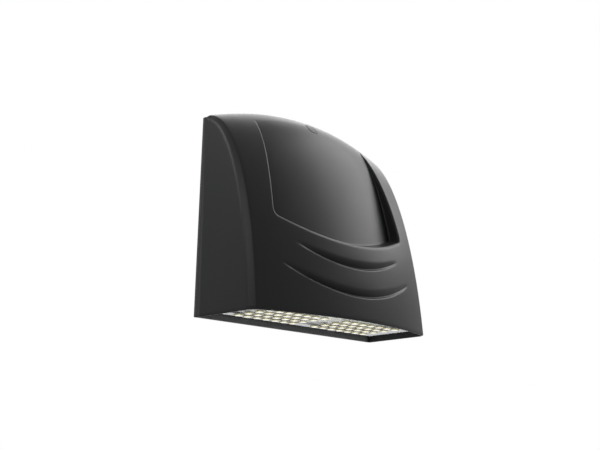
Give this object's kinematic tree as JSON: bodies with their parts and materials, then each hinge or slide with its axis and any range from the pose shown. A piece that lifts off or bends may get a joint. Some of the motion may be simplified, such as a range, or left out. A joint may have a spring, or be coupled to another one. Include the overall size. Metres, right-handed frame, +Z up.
{
  "type": "led wall pack light",
  "caption": "Outdoor wall pack light: a cast hood with a sunken shield-shaped front panel and crescent gills, lit through a lens in its mouth, hinged at its top to a wall plate.",
  "frame": {"origin": "on the wall plane, at the centre of the two slots for the junction box screws, 125 mm above the hood's rim", "axes": "+X to the right along the wall for someone who faces the light, +Y into the wall, +Z up"},
  "size_m": [0.254, 0.1017, 0.2207],
  "materials": {
    "hood_powder": "satin graphite powder coat",
    "plate_powder": "satin graphite powder coat",
    "foam": "matte closed-cell foam",
    "black_rubber": "matte",
    "silicone": "matte translucent grey",
    "plug_plastic": "satin",
    "clear_cover": "clear polycarbonate, gloss",
    "steel": "plain",
    "green_steel": "green plated",
    "bare_aluminium": "mill finish",
    "white_mask": "white solder mask",
    "phosphor": "yellow phosphor",
    "pad_grey": "matte",
    "ivory_plastic": "matte",
    "black_plastic": "matte",
    "green_board": "solder mask",
    "winding": "yellow tape over enamelled wire",
    "can_sleeve": "sleeve",
    "red_insulation": "silicone",
    "black_insulation": "silicone",
    "white_insulation": "silicone"
  },
  "bodies": {
    "wall_mount": {"wall_plate": "plate_powder", "wall_seal": "foam", "wire_grommet": "black_rubber", "ground_screw": "green_steel", "hinge_pins": "steel", "hinge_clips": "steel"},
    "hood": {"hood_casting": "hood_powder", "sensor_plug": "plug_plastic", "plug_retainer": "steel", "lens": "clear_cover", "lens_gasket": "silicone", "lens_screws": "steel", "heat_sink": "bare_aluminium", "heat_sink_screws": "steel", "led_board_left": "white_mask", "led_board_right": "white_mask", "led_chips_left": "phosphor", "led_chips_right": "phosphor", "thermal_pad_left": "pad_grey", "thermal_pad_right": "pad_grey", "board_screws": "steel", "board_connector_left": "ivory_plastic", "board_connector_right": "ivory_plastic", "lead_grommet": "black_rubber", "driver_standoffs": "steel", "driver_tray": "bare_aluminium", "tray_screws": "steel", "driver_case": "bare_aluminium", "driver_lid": "bare_aluminium", "driver_board": "green_board", "driver_transformer": "winding", "driver_capacitors": "can_sleeve", "driver_screws": "steel", "terminal_block": "black_plastic", "positive_lead": "red_insulation", "negative_lead": "black_insulation", "jumper_lead": "white_insulation", "line_lead": "black_insulation", "neutral_lead": "white_insulation"},
    "lock": {"lock_washer": "steel", "lock_screw": "steel"}
  },
  "joints": [
    {"name": "hood_hinge", "type": "hinge", "parent": "wall_mount", "child": "hood", "pos_m": [0, -0.0112, 0.0855], "axis": [-1, 0, 0], "range_deg": [0, 70]},
    {"name": "lock_turn", "type": "hinge", "parent": "wall_mount", "child": "lock", "pos_m": [-0.112, -0.013, -0.11605], "axis": [0, 0, -1], "range_deg": [0, 90]}
  ]
}
